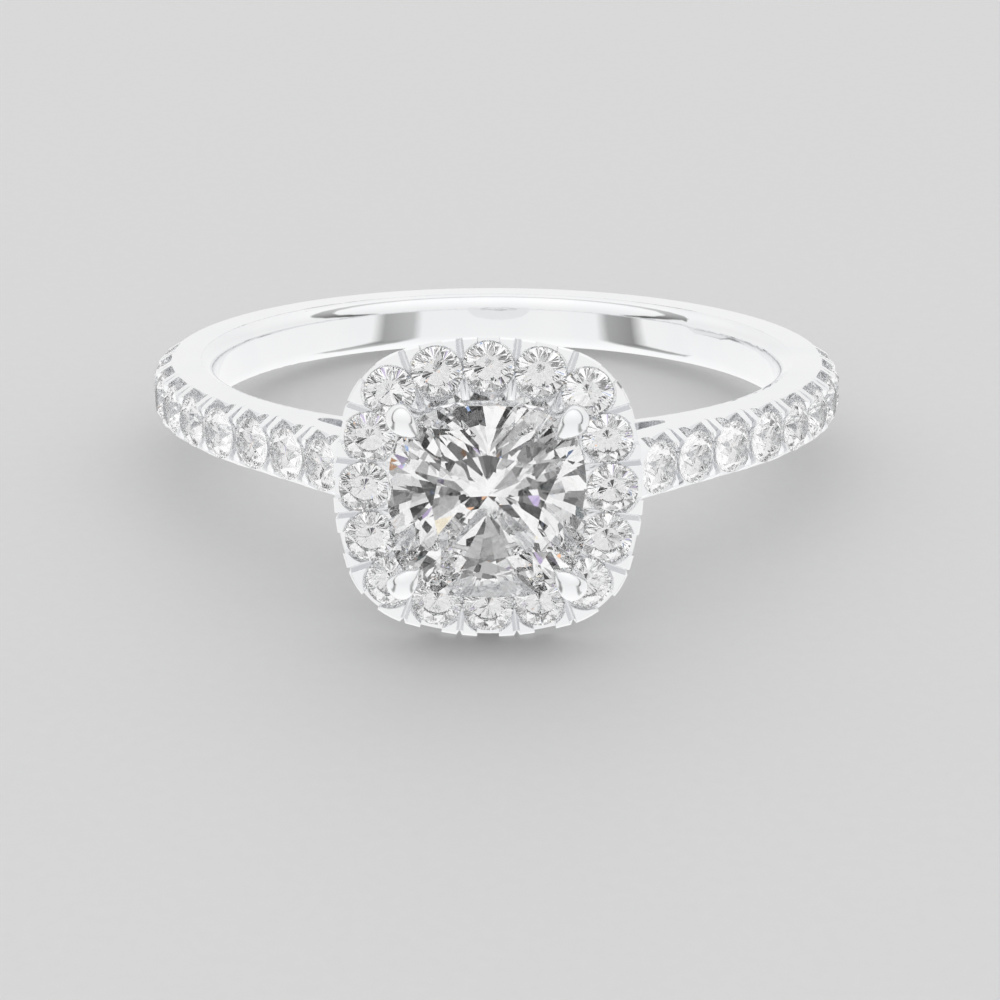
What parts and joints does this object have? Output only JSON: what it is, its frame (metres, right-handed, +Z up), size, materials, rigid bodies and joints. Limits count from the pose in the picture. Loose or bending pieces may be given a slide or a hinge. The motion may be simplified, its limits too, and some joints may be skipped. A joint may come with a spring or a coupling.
{
  "type": "halo engagement ring",
  "caption": "Slim polished white metal ring: a cushion-cut stone held by claws, a cushion-shaped halo of round stones round it, and a row of round stones along each shoulder.",
  "frame": {"origin": "on the surface that the ring lies on, under the middle of its box", "axes": "+Z up from that surface; -Y towards the head, its halo and center stone; +Y towards the back of the shank; X across the ring, +X the right shoulder as seen from the head's side. The finger hole's axis leans from +Z towards +Y."},
  "size_m": [0.021, 0.0246, 0.0083],
  "materials": {
    "white_gold": "polished",
    "diamond": "faceted and polished"
  },
  "bodies": {
    "root": {"ring_mount": "white_gold", "center_stone": "diamond", "halo_stone_01": "diamond", "halo_stone_02": "diamond", "halo_stone_03": "diamond", "halo_stone_04": "diamond", "halo_stone_05": "diamond", "halo_stone_06": "diamond", "halo_stone_07": "diamond", "halo_stone_08": "diamond", "halo_stone_09": "diamond", "halo_stone_10": "diamond", "halo_stone_11": "diamond", "halo_stone_12": "diamond", "halo_stone_13": "diamond", "halo_stone_14": "diamond", "halo_stone_15": "diamond", "halo_stone_16": "diamond", "right_stone_1": "diamond", "right_stone_2": "diamond", "right_stone_3": "diamond", "right_stone_4": "diamond", "right_stone_5": "diamond", "right_stone_6": "diamond", "right_stone_7": "diamond", "right_stone_8": "diamond", "right_stone_9": "diamond", "left_stone_1": "diamond", "left_stone_2": "diamond", "left_stone_3": "diamond", "left_stone_4": "diamond", "left_stone_5": "diamond", "left_stone_6": "diamond", "left_stone_7": "diamond", "left_stone_8": "diamond", "left_stone_9": "diamond"}
  },
  "joints": []
}
